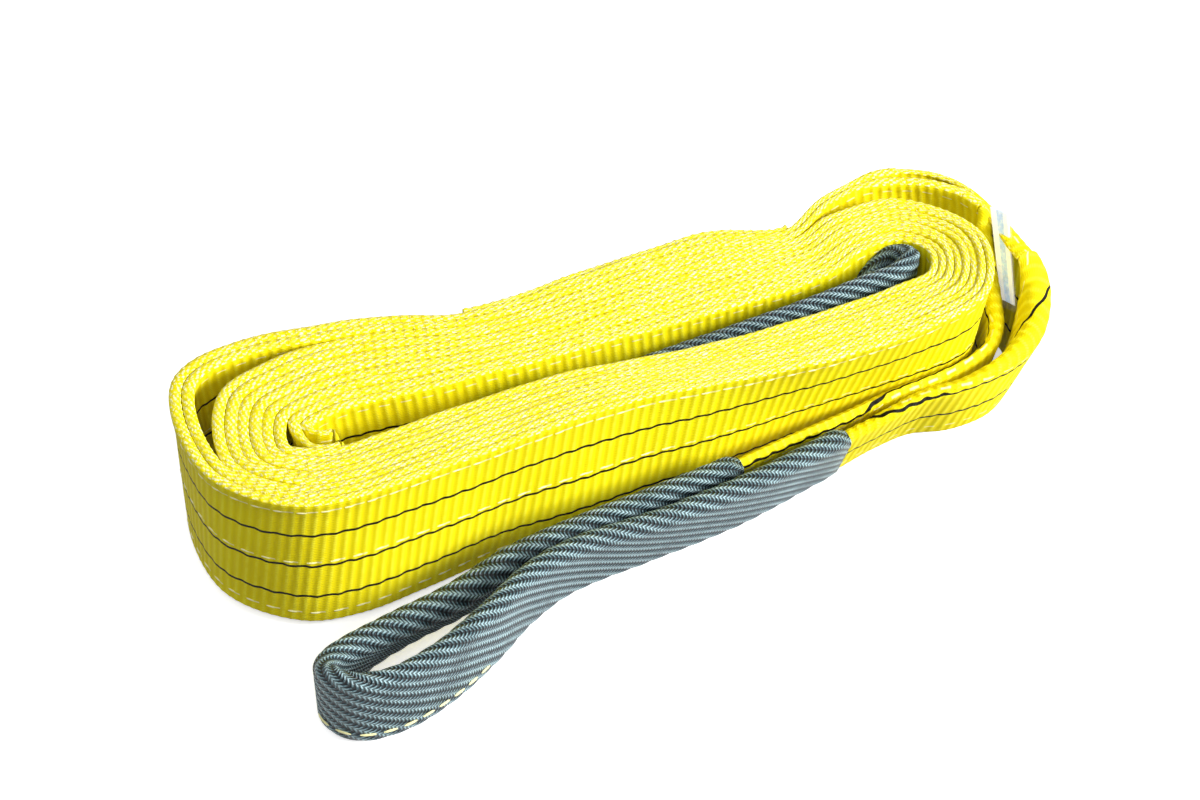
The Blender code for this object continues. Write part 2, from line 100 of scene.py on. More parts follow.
# The innermost turn: rim x, y; direction outwards; pitch from turn to turn; tuck of the foot; steps.
STATIONS = (
    (-206, -42, -1.00, 0.00, 12.8, 0, 3),      # left end
    (-200, -26, -0.60, 0.80, 14.5, 0, 3),
    (-182, -21, -0.35, 0.94, 14.3, 0, 3),
    (-158, -22, -0.05, 1.00, 13.7, 0, 2),      # back
    (-128, -28, 0.15, 0.99, 12.5, 0, 2),
    (-97, -33, 0.15, 0.99, 10.3, 0, 2),
    (-60, -38, 0.08, 1.00, 10.0, -2, 2),
    (-20, -41, 0.03, 1.00, 10.8, -6, 2),
    (30, -46, 0.03, 1.00, 11.8, -12, 2),
    (75, -50, -0.02, 1.00, 12.0, -12, 2),
    (118, -51, -0.15, 0.99, 8.6, -8, 2),
    (148, -42, -0.05, 1.00, 8.6, 1, 3),
    (173, -45, 0.55, 0.84, 8.8, 3, 4),         # right end
    (184, -65, 1.00, 0.00, 8.9, 8, 4),
    (173, -84, 0.50, -0.87, 9.8, 14, 3),
    (145, -87, 0.05, -1.00, 10.8, 24, 2),      # front
    (108, -87, -0.02, -1.00, 10.7, 28, 2),
    (76, -85, -0.10, -1.00, 10.5, 26, 2),
    (45, -82, -0.15, -0.99, 9.6, 18, 2),
    (15, -77, -0.18, -0.98, 9.2, 9, 2),
    (-20, -69, -0.18, -0.98, 9.4, 3, 2),
    (-60, -62, -0.10, -1.00, 10.4, 0, 2),
    (-110, -60, 0.03, -1.00, 11.0, 5, 2),
    (-160, -59, 0.03, -1.00, 11.2, 2, 2),
    (-190, -58, -0.25, -0.97, 11.4, 0, 3),
    (-206.5, -52, -0.60, -0.80, 12.4, 0, 3),
)
LAST_BACK = 10              # the row after which the last turn leaves for the loop
FRONT_STEPS = 24            # steps along one front run
LOOSE_STEPS = 3             # steps from point to point in the loop and the first leads
LOOP_RIM = 4 * WIDEST_RIM   # pitch at which the rims are as wide as they get
FULL_LEAN_TURN = 4          # the turn whose feet are tucked by the table's whole amount
FOOT_PITCH = 7.8            # from turn to turn at the foot where a web leans fully
FULL_LEAN = 20.0
LAST_TURN_BULGE = {1: 14.0, 2: 10.0, 3: 1.0}    # how far the last turn stands off, by row
OUTER_PLY_START = ((-188.1, -50.8), (-194, -50.5), (-202.5, -44))
INNER_PLY_START = ((-187.4, -39.6), (-191.5, -39.3), (-196.5, -35.5))
LOOP_MIDDLE = ((149.5, -1.1), (169.5, 2.9))
OUTER_PLY_LOOP = (          # foot x, y, rim x, y
    (188, 3.5, 190.5, 7),
    (203.5, -3, 207, 1.5),
    (217, -13.5, 222.3, -9.8),
    (227, -28, 233.8, -25.7),
    (231.5, -45, 239, -43.5),
    (232, -63, 241.5, -63.5),
    (230, -81, 242.5, -84),
)
INNER_PLY_LOOP = (
    (187, -1, 187.5, -0.8),
    (201.5, -8, 202.5, -6.5),
    (213, -18, 216, -16.5),
    (221, -30, 226, -28.5),
    (224.5, -43, 230.8, -43),
)

# The outer eye from the outer ply's end round the tip: foot x, y, crest x, y, height along the lean,
# height of the foot.
OUTER_EYE = (
    (229.8, -81.5, 242.4, -84.5, 80, 0),
    (227, -90, 243, -93, 75, 0),
    (222, -97.5, 241, -102, 68, 0),
    (210, -106.5, 228, -118, 59, 0),
    (190, -116.5, 203, -128, 52, 0),
    (166, -116.5, 169, -130, 47, 0),
    (142, -110, 143, -127, 45, 2),
    (117, -111, 118, -129, 44, 2),
    (91, -114.5, 91, -131, 44, 0),
    (60, -119.5, 61, -135.5, 44, 0),
    (13, -126, 13, -141, 44, 0),
    (-40, -127, -40, -142, 44, 0),
    (-90, -128.5, -90, -140, 44, 0),
    (-123, -140, -123, -147, 44, 0),
    (-157, -159, -157, -163, 44, 0),
    (-190, -173, -190, -176, 44, 0),
    (-220, -178.5, -220, -181, 44, 0),
    (-240, -173, -241, -176, 45, 0),
    (-247.5, -159, -249.5, -162, 44, 0),
    (-241, -145, -244, -149.5, 38, 1),
    (-221, -133.5, -224, -140, 29, 5),
    (-192, -126, -194, -134, 23, 8),
    (-160, -121, -161, -129.5, 22, 8),
    (-122, -114, -122, -125, 31, 7),
    (-90, -111, -90, -124.5, 39, 3),
    (-40, -110, -40, -125, 44, 0),
    (13, -109, 13, -123.5, 44, 0),
    (50, -106, 50, -120.5, 44, 0),
    (90, -102.5, 90, -118, 44, 0),
    (128, -101.8, 128, -116, 44, 0),
    (160, -105.4, 160, -116, 44, 0),
    (180, -104, 182, -114, 45, 0),
    (193, -98.5, 199, -108, 46, 0),
    (203.5, -88, 212, -95, 48, 0),
    (210.5, -76.5, 218.5, -80, 54, 0),
    (217, -62, 223.5, -64, 67, 0),
    (221, -52, 226.5, -53.5, 78, 0),
    (224, -45, 230, -45, 88, 0),
)
OUTER_SLEEVE = (13.0, 48.5)             # thickness and height
OUTER_FOLD = 44.0                       # usual height of the fold inside
OUTER_COVERED = (95.0, 130.0)           # between these x the fold leaves the sleeve
LOOP_LOOSENS = (165.0, 226.0)           # between these x the fold opens into the loop
OUTER_SLEEVE_MOUTHS = (88.0, 24.0)      # their x on the front and rear legs

# The inner eye: foot x, y, crest x, y, height along the lean, height of the foot.
INNER_EYE = (
    (-188.3, -50.8, -188.3, -50.8, 88, 0),
    (-178, -51, -178, -51, 66, 6),
    (-160, -51.5, -160, -51.5, 42, 32),
    (-138, -50, -138, -50, 36, 39),
    (-112, -47.5, -112, -47.5, 36, 40.5),
    (-60, -50, -60, -50.5, 36, 40.5),
    (-20, -57, -20, -58.5, 36, 40.5),
    (20, -60, 20, -63, 38, 42),
    (70, -62, 70, -69, 41, 44.6),
    (110, -63.5, 110, -71.5, 42, 47),
    (138, -63.5, 140, -71, 42, 48),
    (155, -65, 158, -70, 42, 48),
    (168, -58.5, 171, -60.5, 42, 47),
    (163, -49.3, 164.5, -50, 42, 43),
    (148, -49.5, 149.5, -50.3, 42, 33),
    (130, -55, 130, -56, 41, 10),
    (112, -54.2, 112, -57, 41, 0.7),
    (90, -52.5, 90, -55.5, 41, 0.7),
    (50, -53.5, 50, -55.5, 39, 0.7),
    (20, -53, 20, -55.5, 37, 0.7),
    (-20, -52.5, -20, -54, 36, 0.7),
    (-60, -50.5, -60, -50.5, 36, 0.7),
    (-112, -46.5, -112, -46.5, 36, 0.7),
    (-138, -42.2, -138, -42.2, 38, 0),
    (-160, -41.5, -160, -41.5, 43, 0),
    (-178, -40.8, -178, -40.8, 64, 0),
    (-187.5, -39.5, -187.5, -39.5, 88, 0),
)
INNER_SLEEVE = (11.5, 44.0)             # thickness and height
INNER_FOLD = 41.0
INNER_COVERED = (-125.0, -104.0)        # between these x the fold enters the sleeve
INNER_SLEEVE_END_X = -106.0
FOLD_CLEARANCE = 1.0        # of a folded web above its foot line
COVERED_LIFT = 1.8          # more of it inside a sleeve
COVERED_LOSS = 4.5          # height that the fold loses inside a sleeve
SLEEVE_STEP = 1.3           # mesh step along a sleeve
SLEEVE_SIDES = 124          # mesh points round a sleeve
SLEEVE_WALL = 1.7
SLEEVE_INWARD = 0.35        # of the ribs' middle level
SLEEVE_SLACK = 0.11         # extra thickness for each millimetre that the fold is lower
SLEEVE_BELLY = 0.42
SLEEVE_WAVES = (33.0, 61.0, 97.0)
MOUTH_ROUNDING = 11.0       # length over which a sleeve's mouth draws in
MOUTH_DROP = 5.0
MOUTH_PINCH = 0.16
MOUTH_HEM = (2.0, 9.0)      # the ribs rise between these distances from a mouth
HEM_HEIGHT = 9.5            # of the running stitch above the sleeve's lower edge
HEM_SPAN = (0.405, 0.51)    # shares of the eye's length
HEM_DASH = 7.0
HEM_PITCH = 10.5
HEM_PROUD = 0.35
TAG_TOP = ((229.4, -54.6), (232.2, -59.5), (234.6, -64.9))
TAG_FOOT = ((227.5, -76.0), (229.6, -80.2), (231.2, -84.8))
TAG_LEVELS = (42.0, 96.0)
TAG_HALF = 0.6              # half its thickness, and the inset of its edges
FILM_HALF = 0.25
FILM_GAP = 0.35
FILM_MARGIN = 3.0           # of the film beyond the tag's levels
LABEL_STEP = 0.6            # mesh step along the label

# ---- camera, light and colours
CAMERA_AZIMUTH = -28.5      # degrees, seen from the plan's zero
CAMERA_ELEVATION = 42.0
CAMERA_DISTANCE = 2.0       # metres, as are the places of the lights
CAMERA_LENS = 102.0
CAMERA_SENSOR = 36.0
WORLD_ABOVE = 0.66
WORLD_BELOW = 0.08
WORLD_RISE = (-0.25, 0.35)  # heights in the sky between which it brightens
FILL_LIGHT = ((-0.9, -1.3, 1.9), (0.2, 0.0, 0.05), 0.7, 9.0)        # place, target, size, power
KEY_LIGHT = ((1.45, -1.55, 1.05), (0.0, 0.0, 0.05), 1.0, 100.0)
FLOOR_SIZE = 8.0
FLOOR_LEVEL = -0.0004
FLOOR_GLOW = 0.55           # keeps the pale floor clear of heavy shadow
TAG_PAINTED_GLOW = 0.35             # painted glow that brightens the tag in the shade between the coils

WHITE = (1.0, 1.0, 1.0, 1.0)
FLOOR_GREY = (0.93, 0.93, 0.93, 1.0)
FLOOR_PALE = (0.96, 0.96, 0.96, 1.0)
YELLOW = (0.84, 0.73, 0.0015, 1.0)
DEEP_YELLOW = (0.74, 0.60, 0.0010, 1.0)
PALE_YELLOW = (0.97, 0.93, 0.06, 1.0)
RIB_SHADE = (0.55, 0.42, 0.001, 1.0)
WEFT_SHADE = (0.56, 0.44, 0.001, 1.0)
# painted highlight on the selvedge yarn loops
SELVEDGE_HIGHLIGHT = (1.0, 1.0, 0.60, 1.0)
BLACK_YARN = (0.006, 0.006, 0.004, 1.0)
STITCH_WHITE = (0.95, 0.92, 0.50, 1.0)
STITCH_SHADE = (0.80, 0.74, 0.30, 1.0)
# the sleeve's darkest colour is painted shade and its lightest a painted highlight
SLEEVE_GAP_SHADE = (0.002, 0.005, 0.007, 1.0)
SLEEVE_SLATE = (0.016, 0.062, 0.082, 1.0)
SLEEVE_HIGHLIGHT = (0.47, 0.68, 0.73, 1.0)
TAG_BLUE = (0.48, 0.66, 0.96, 1.0)
TAG_PALE = (0.93, 0.95, 1.0, 1.0)
FILM_CLEAR = (0.97, 0.98, 1.0, 1.0)
FILM_HAZE = (0.92, 0.95, 1.0, 1.0)


# ---- curves
def spline(controls, steps):
    """Centripetal Catmull-Rom through the controls; the first two columns set the pace."""
    controls = np.asarray(controls, float)
    padded = np.vstack([2 * controls[0] - controls[1], controls, 2 * controls[-1] - controls[-2]])
    gaps = np.linalg.norm(np.diff(padded[:, :2], axis=0), axis=1)
    knots = np.concatenate([[0.0], np.cumsum(np.sqrt(gaps))])
    found = []
    for i in range(1, len(padded) - 2):
        t0, t1, t2, t3 = knots[i - 1:i + 3]
        p0, p1, p2, p3 = padded[i - 1:i + 3]
        count = steps[i - 1] if hasattr(steps, "__len__") else steps
        for j in range(count):
            t = t1 + (t2 - t1) * j / count
            a1 = (t1 - t) / (t1 - t0) * p0 + (t - t0) / (t1 - t0) * p1
            a2 = (t2 - t) / (t2 - t1) * p1 + (t - t1) / (t2 - t1) * p2
            a3 = (t3 - t) / (t3 - t2) * p2 + (t - t2) / (t3 - t2) * p3
            b1 = (t2 - t) / (t2 - t0) * a1 + (t - t0) / (t2 - t0) * a2
            b2 = (t3 - t) / (t3 - t1) * a2 + (t - t1) / (t3 - t1) * a3
            found.append((t2 - t) / (t2 - t1) * b1 + (t - t1) / (t2 - t1) * b2)
    found.append(padded[-2])
    return np.array(found)


def sideways(line, offset):
    """A plan line moved to the left of its travel by an offset, which may differ from point to point."""
    along = np.gradient(line, axis=0)
    along /= np.linalg.norm(along, axis=1)[:, None]
    left = np.column_stack([-along[:, 1], along[:, 0]])
    return line + left * np.reshape(offset, (-1, 1))


def coil_station(turn, index):
    """Rim, foot, lift and pitch at one row of the table, on one turn."""
    x, y, out_x, out_y, pitch, lean, _ = STATIONS[index]
    out = pitch * (turn - 1)
    if turn == TURNS:
        out += LAST_TURN_BULGE.get(index, 0.0)
    spare = max(pitch - FOOT_PITCH, 0.0) * min(max(lean, 0.0) / FULL_LEAN, 1.0)
    tuck = lean - spare * (FULL_LEAN_TURN - turn)
    rim = (x + out_x * out, y + out_y * out)
    foot = (rim[0] - out_x * tuck, rim[1] - out_y * tuck)
    return (*rim, *foot, DISH * (turn - 1), pitch)


def rim_room(rows):
    """The pitch that the rims of both plies share, within what selvedges can fill."""
    return np.clip(rows[:, 5], 2 * PLY_STEP, LOOP_RIM)


def ply_path(side):
    """Rim, foot, lift and pitch finely along one ply, and the row where its last turn starts."""
    controls = []
    steps = []
    for turn in range(1, TURNS + 1):
        before_last = sum(steps)
        for index in range(LAST_BACK + 1 if turn == TURNS else len(STATIONS)):
            controls.append(coil_station(turn, index))
            steps.append(STATIONS[index][6])
    lift = DISH * (TURNS - 1)
    for x, y in LOOP_MIDDLE:
        controls.append((x, y, x, y, lift, 2 * PLY_STEP))
        steps.append(LOOSE_STEPS)
    coil = spline(controls, [FINE * count for count in steps[:-1]])
    coil[:, 0:2] = sideways(coil[:, 0:2], side * rim_room(coil) / 4)
    coil[:, 2:4] = sideways(coil[:, 2:4], side * PLY_STEP / 2)
    coil = coil[LOOSE_STEPS * FINE:]
    start = OUTER_PLY_START if side > 0 else INNER_PLY_START
    lead = [(x, y, x, y, 0.0, 2 * PLY_STEP) for x, y in start]
    first = spline(lead + [coil[0], coil[FINE]], LOOSE_STEPS * FINE)[:LOOSE_STEPS * FINE * len(lead)]
    loop = OUTER_PLY_LOOP if side > 0 else INNER_PLY_LOOP
    trail = []
    for i, (foot_x, foot_y, rim_x, rim_y) in enumerate(loop):
        trail.append((rim_x, rim_y, foot_x, foot_y, lift * (1.0 - i / (len(loop) - 1)), LOOP_RIM))
    last = spline([coil[-1 - FINE], coil[-1]] + trail, LOOSE_STEPS * FINE)[LOOSE_STEPS * FINE + 1:]
    start_of_last = (before_last - LOOSE_STEPS) * FINE + len(first)
    return np.vstack([first, coil, last]), start_of_last


def evenly(line, step, columns=(0, 1)):
    """The line's rows again at an even step along it, with the distance run as a last column."""
    gaps = np.linalg.norm(np.diff(line[:, list(columns)], axis=0), axis=1)
    run = np.concatenate([[0.0], np.cumsum(gaps)])
    count = max(int(run[-1] / step), 2)
    at = np.linspace(0.0, run[-1], count + 1)
    rows = [np.interp(at, run, line[:, k]) for k in range(line.shape[1])]
    return np.column_stack(rows + [at])


def wander(distance, seed, lengths=RIM_WAVES):
    """A smooth wandering value between about -1 and 1."""
    total = np.zeros_like(np.asarray(distance, float))
    for i, length in enumerate(lengths):
        total += np.sin(2 * np.pi * distance / length + seed * (1.7 + i) + i * 2.1)
    return total / len(lengths)


def smooth_step(value, low, high):
    """0 up to low, 1 from high, and smooth between them."""
    share = np.clip((value - low) / (high - low), 0.0, 1.0)
    return share * share * (3.0 - 2.0 * share)


def unit(vectors):
    """The same directions, 1 long."""
    return vectors / np.maximum(np.linalg.norm(vectors, axis=-1, keepdims=True), 1e-9)


# ---- meshes
def make_object(name, shells):
    """One mesh from shells, each of points, faces and point attributes."""
    points = np.vstack([shell[0] for shell in shells])
    faces = []
    start = 0
    for shell in shells:
        faces += [tuple(corner + start for corner in face) for face in shell[1]]
        start += len(shell[0])
    mesh = bpy.data.meshes.new(name)
    mesh.from_pydata(((points + LAYOUT_ZERO) * MM).tolist(), [], faces)
    for label in shells[0][2]:
        layer = mesh.attributes.new(label, "FLOAT_VECTOR", "POINT")
        values = np.vstack([shell[2][label] for shell in shells])
        layer.data.foreach_set("vector", values.astype(np.float32).ravel())
    mesh.shade_smooth()
    mesh.set_sharp_from_angle(angle=math.radians(SHARP_ANGLE))
    made = bpy.data.objects.new(name, mesh)
    bpy.context.scene.collection.objects.link(made)
    return made


def grid_faces(rows, across, start=0, flip=False):
    """Quads of a tube of rows by across points that closes round."""
    faces = []
    for i in range(rows - 1):
        for j in range(across):
            k = (j + 1) % across
            a, b = start + i * across, start + (i + 1) * across
            quad = (a + j, a + k, b + k, b + j)
            faces.append(quad[::-1] if flip else quad)
    return faces


def volume_sign(points, rows, across):
    """1 or -1, by which way round the points of a tube run."""
    ring = points.reshape(rows, across, 3)
    middle = ring[rows // 2:rows // 2 + 2]
    centre = middle.mean(axis=(0, 1))
    a = middle[0] - centre
    b = np.roll(middle[0], -1, axis=0) - centre
    c = np.roll(middle[1], -1, axis=0) - centre
    return np.sign((a * np.cross(b, c)).sum())


class Ribbon:
    """A strip of webbing: middle points (along, across, 3), half thickness, distance and width places."""

    def __init__(self, middle, half, distance, width):
        self.middle = middle
        self.half = half
        self.distance = distance
        self.width = width
        along = np.gradient(middle, axis=0)
        self.up = unit(np.gradient(middle, axis=1))
        self.out = unit(np.cross(self.up, along))

    def at(self, distance, width, proud):
        """A point over the outer face, with the directions across the web and out of it."""
        i = int(np.clip(np.searchsorted(self.distance, distance) - 1, 0, len(self.distance) - 2))
        t = (distance - self.distance[i]) / (self.distance[i + 1] - self.distance[i])
        values = []
        for field in (self.middle, self.out, self.up, self.half[:, :, None]):
            row = field[i] * (1 - t) + field[i + 1] * t
            values.append(np.array([np.interp(width, self.width[i], column) for column in row.T]))
        middle, out, up, half = values
        out = unit(out)
        return middle + out * (half[0] + proud), unit(up), out

    def shell(self, cap=CAP, pips=0.35, seed=0.0, ribs=RIB_HEIGHT):
        """The closed surface: two ribbed faces and two rounded selvedges."""
        rows, across, _ = self.middle.shape
        angles = np.radians(EDGE_ANGLES)
        rings = []
        strap = []
        edge = []

        def add(points, width, face, turn, mark):
            rings.append(points[:, None, :])
            strap.append(np.column_stack([self.distance, width, np.full(rows, face)])[:, None, :])
            edge.append(np.tile((turn, mark, seed), (rows, 1))[:, None, :])

        phase = 2 * np.pi * (self.distance[:, None] + RIB_SLANT * self.width) / RIB_PITCH
        near_edge = np.minimum(self.width - self.width[:, :1], self.width[:, -1:] - self.width)
        full = self.half + ribs * np.sin(phase) * smooth_step(near_edge, *RIB_FADE)
        for j in range(across):
            add(self.middle[:, j] + self.out[:, j] * full[:, j:j + 1], self.width[:, j], 1.0, 1.0, 0.0)
        for mark, j in ((1.0, across - 1), (-1.0, 0)):
            for angle in angles if mark > 0 else angles + np.pi:
                turn = math.cos(angle)
                row_phase = np.pi if turn < 0 else 0.0
                bump = np.maximum(np.sin(2 * np.pi * self.distance / PIP_PITCH + row_phase), 0.0)
                swell = 1.0 + pips * bump[:, None] * 0.5 * (1 - abs(abs(turn) - 0.5))
                half = self.half[:, j:j + 1]
                reach = np.minimum(cap, half * CAP_REACH)
                spot = (self.middle[:, j] + self.out[:, j] * half * turn * swell
                        + self.up[:, j] * reach * math.sin(angle) * swell)
                add(spot, self.width[:, j] + mark * abs(math.sin(angle)), 0.0, turn, mark)
            if mark > 0:
                for k in range(across - 1, -1, -1):
                    add(self.middle[:, k] - self.out[:, k] * full[:, k:k + 1], self.width[:, k],
                        -1.0, -1.0, 0.0)
        points = np.concatenate(rings, axis=1)
        total = points.shape[1]
        flat = points.reshape(-1, 3)
        flip = volume_sign(flat, rows, total) < 0
        faces = grid_faces(rows, total, flip=flip)
        ends = [tuple(range(total))[::-1], tuple(range((rows - 1) * total, rows * total))]
        faces += [end[::-1] if flip else end for end in ends]
        data = {"strap": np.concatenate(strap, axis=1).reshape(-1, 3),
                "edge": np.concatenate(edge, axis=1).reshape(-1, 3)}
        return flat, faces, data


def standing_ribbon(line, seed, height=WEB_WIDTH, low=0.0, rim_swell=True):
    """A web on edge from rows of rim, foot, lift, pitch and distance."""
    distance = line[:, 6]
    rim = line[:, 0:2]
    foot = line[:, 2:4]
    rows = []
    for share in HEIGHT_SHARES:
        plan = foot + (rim - foot) * share
        belly = np.sin(np.pi * share) * BELLY * wander(distance, seed + 3.0, BELLY_WAVES)
        plan = sideways(plan, belly)
        level = low + CAP + (height - 2 * CAP) * share + line[:, 4]
        level = level + share * RIM_WANDER * wander(distance, seed)
        rows.append(np.column_stack([plan, level]))
    middle = np.stack(rows, axis=1)
    if rim_swell:
        rim_half = rim_room(line) / 4 - EDGE_SPARE
    else:
        rim_half = np.full(len(line), PLY_HALF + EDGE_SPARE)
    swell = smooth_step(HEIGHT_SHARES, *RIM_SWELL)[None, :]
    half = PLY_HALF + (rim_half[:, None] - PLY_HALF) * swell
    half = half + FOOT_SWELL * smooth_step(-HEIGHT_SHARES, -0.03, 0.0)[None, :]
    width = low + np.repeat((CAP + (height - 2 * CAP) * HEIGHT_SHARES)[None, :], len(line), axis=0)
    return Ribbon(middle, half, distance, width)


def right_of(plan, up):
    """Directions to the right of a plan line's travel, square to up."""
    along = unit(np.gradient(plan, axis=0))
    right = np.column_stack([along[:, 1], -along[:, 0], np.zeros(len(plan))])
    return unit(right - up * (right * up).sum(axis=1)[:, None])


def eye_frames(controls):
    """Foot, direction up, direction right of travel, height and distance finely along an eye."""
    line = spline(controls, 2 * FINE)
    middle = (line[:, 0:2] + line[:, 2:4]) / 2
    run = np.concatenate([[0.0], np.cumsum(np.linalg.norm(np.diff(middle, axis=0), axis=1))])
    at = np.linspace(0.0, run[-1], int(run[-1] / ALONG) + 1)
    line = np.column_stack([np.interp(at, run, line[:, k]) for k in range(6)])
    middle = (line[:, 0:2] + line[:, 2:4]) / 2
    foot = np.column_stack([line[:, 0:2], line[:, 5]])
    shift = line[:, 2:4] - line[:, 0:2]
    rise = np.sqrt(np.maximum(line[:, 4] ** 2 - (shift ** 2).sum(axis=1), 1.0))
    up = unit(np.column_stack([shift, rise]))
    return foot, up, right_of(middle, up), line[:, 4], at


def rolled_ribbon(start, up, right, height, radius, side, distance):
    """A web whose upper part is rolled over to one side; the roll's radius differs along it."""
    rolled = WEB_WIDTH - CAP - height
    opened = smooth_step(rolled, 0.0, FULL_ROLL[1])
    inward = right * side
    top = height - radius * np.clip(rolled / FULL_ROLL[0], 0.0, 1.0)
    most = math.pi * radius + np.maximum(top - HANG_CLEARANCE, LEAST_HANG)
    rest = np.minimum(WEB_WIDTH - CAP - top, most)
    base = start - inward * (np.minimum(radius, FOLD_RADIUS) * opened)[:, None]
    rows = []
    width = []
    for share in FLANK_PARTS:
        run = CAP + (top - CAP) * share
        rows.append(base + up * run[:, None])
        width.append(run)
    for share in ROLL_PARTS:
        run = rest * share
        angle = np.minimum(run / radius, math.pi)
        hang = np.maximum(run - math.pi * radius, 0.0)
        rows.append(base + up * (top + radius * np.sin(angle) - hang)[:, None]
                    + inward * (radius * (1 - np.cos(angle)))[:, None])
        width.append(top + run)
    middle = np.stack(rows, axis=1)
    width = np.stack(width, axis=1)
    return Ribbon(middle, np.full(width.shape, PLY_HALF), distance, width)


def folded_ribbon(controls, side, sleeved, loose):
    """The eye's web, folded lengthwise; it is a little smaller where the sleeve covers it."""
    foot, up, right, height, distance = eye_frames(controls)
    cover = sleeved(foot)
    start = foot + up * (FOLD_CLEARANCE + COVERED_LIFT * cover)[:, None]
    height = height - FOLD_CLEARANCE - COVERED_LOSS * cover
    return rolled_ribbon(start, up, right, height, loose(foot, distance), side, distance)


def tube_place(c, straight, bend):
    """Where the distance c round a flat tube lies: the angle outwards, and the share of the flank climbed."""
    if c < straight:
        return 0.0, c / straight
    if c < straight + math.pi * bend:
        return (c - straight) / bend, 1.0
    if c < 2 * straight + math.pi * bend:
        return math.pi, 1.0 - (c - straight - math.pi * bend) / straight
    return math.pi + (c - 2 * straight - math.pi * bend) / bend, 0.0


def sleeve(name, controls, size, usual_fold, kept, rib=6.2, slant=30.0, depth=0.75, seed=0.0):
    """A woven tube with thick slanting ribs, modelled inside and out, open at both mouths."""
    thickness, height = size
    foot, up, right, fold, distance = eye_frames(controls)
    inside = np.flatnonzero([kept(i / len(foot), place) for i, place in enumerate(foot)])
    keep = slice(inside[0], inside[-1] + 1)
    distance = distance[keep]
    fine = np.linspace(distance[0], distance[-1], int((distance[-1] - distance[0]) / SLEEVE_STEP))
    foot, up, right = [np.column_stack([np.interp(fine, distance, column) for column in field[keep].T])
                       for field in (foot, up, right)]
    fold = np.interp(fine, distance, fold[keep])
    up, right = unit(up), unit(right)
    bend = thickness / 2
    straight = height - 2 * bend
    perimeter = 2 * straight + 2 * math.pi * bend
    near_end = np.minimum(fine - fine[0], fine[-1] - fine)
    drawn_in = (1.0 - smooth_step(near_end, 0.0, MOUTH_ROUNDING)) ** 2
    tall = height - usual_fold + fold - MOUTH_DROP * drawn_in
    radius = (bend + np.maximum(usual_fold - fold, 0.0) * SLEEVE_SLACK) * (1.0 - MOUTH_PINCH * drawn_in)
    ribs = round(perimeter * math.cos(math.radians(slant)) / rib)
    hem = 1.0 - smooth_step(near_end, *MOUTH_HEM)
    outer = []
    inner = []
    weave = []
    for k in range(SLEEVE_SIDES):
        c = k / SLEEVE_SIDES * perimeter
        angle, climb = tube_place(c, straight, bend)
        out_r, out_u = math.cos(angle), math.sin(angle)
        level = radius + (tall - 2 * radius) * climb + radius * out_u
        phase = fine * math.sin(math.radians(slant)) / rib + ribs * c / perimeter
        along_rib = fine * math.cos(math.radians(slant)) - c * math.sin(math.radians(slant))
        ridge = np.abs(np.cos(np.pi * phase)) ** 0.8
        rise = depth * (smooth_step(level, 0.0, 4.0) * 0.65 + 0.35) * (ridge - 0.75) * (1 - hem * 0.7)
        slack = 0.5 * wander(fine + c * 0.6, seed + 1.0, SLEEVE_WAVES) + 0.5
        rise = rise - SLEEVE_INWARD + slack * SLEEVE_BELLY * abs(out_r)
        outward = out_r * right + out_u * up
        base = foot + up * level[:, None] + right * (radius * out_r)[:, None]
        outer.append((base + outward * rise[:, None])[:, None, :])
        inner.append((base - outward * SLEEVE_WALL)[:, None, :])
        weave.append(np.column_stack([phase, along_rib, hem])[:, None, :])
    outer = np.concatenate(outer, axis=1).reshape(-1, 3)
    inner = np.concatenate(inner, axis=1).reshape(-1, 3)
    rows = len(fine)
    flip = volume_sign(outer, rows, SLEEVE_SIDES) < 0
    faces = grid_faces(rows, SLEEVE_SIDES, flip=flip)
    faces += grid_faces(rows, SLEEVE_SIDES, start=len(outer), flip=not flip)
    for ring, turned in ((0, flip), ((rows - 1) * SLEEVE_SIDES, not flip)):
        for j in range(SLEEVE_SIDES):
            k = (j + 1) % SLEEVE_SIDES
            quad = (ring + j, len(outer) + ring + j, len(outer) + ring + k, ring + k)
            faces.append(quad[::-1] if turned else quad)
    data = np.concatenate(weave, axis=1).reshape(-1, 3)
    made = make_object(name, [(np.vstack([outer, inner]), faces, {"weave": np.vstack([data, data])})])
    return made, (round(perimeter * MM, 3), round((fine[-1] - fine[0]) * MM, 3))


def stitches(name, seats, thick=0.45, broad=0.5):
    """Short threads lying on a surface; a seat is a list of places, each with directions across and out."""
    points = []
    faces = []
    section = ((-1.0, -0.3), (-0.75, 0.6), (0.0, 1.0), (0.75, 0.6), (1.0, -0.3))
    ring = len(section)
    for seat in seats:
        start = len(points)
        for i, (place, across, out) in enumerate(seat):
            size = 0.45 if i in (0, len(seat) - 1) else 1.0
            for x, y in section:
                points.append(place + across * (x * broad * size) + out * (y * thick * size))
        faces += grid_faces(len(seat), ring, start=start)
        last = start + (len(seat) - 1) * ring
        faces.append(tuple(range(start, start + ring))[::-1])
        faces.append(tuple(range(last, last + ring)))
    return make_object(name, [(np.array(points), faces, {})])


def row_of_seats(ribbon, low, high, width, dash=STITCH_DASH, pitch=STITCH_PITCH, drift=0.0):
    """Places for the stitches of one row, between two distances along a web."""
    seats = []
    place = low
    while place + dash < high:
        seats.append([ribbon.at(place + dash * part, width + drift * part, STITCH_PROUD)
                      for part in STITCH_PARTS])
        place += pitch
    return seats


def zigzag(ribbon, low, high, rows, first, spacing, dash, pitch, drift, stagger=0.0):
    """Rows of stitches that slant by turns; every other row is shorter by the stagger at each end."""
    seats = []
    for k in range(rows):
        inset = 0.0 if k % 2 else stagger
        seats += row_of_seats(ribbon, low + inset, high - inset, first + spacing * k,
                              dash, pitch, drift if k % 2 else -drift)
    return seats


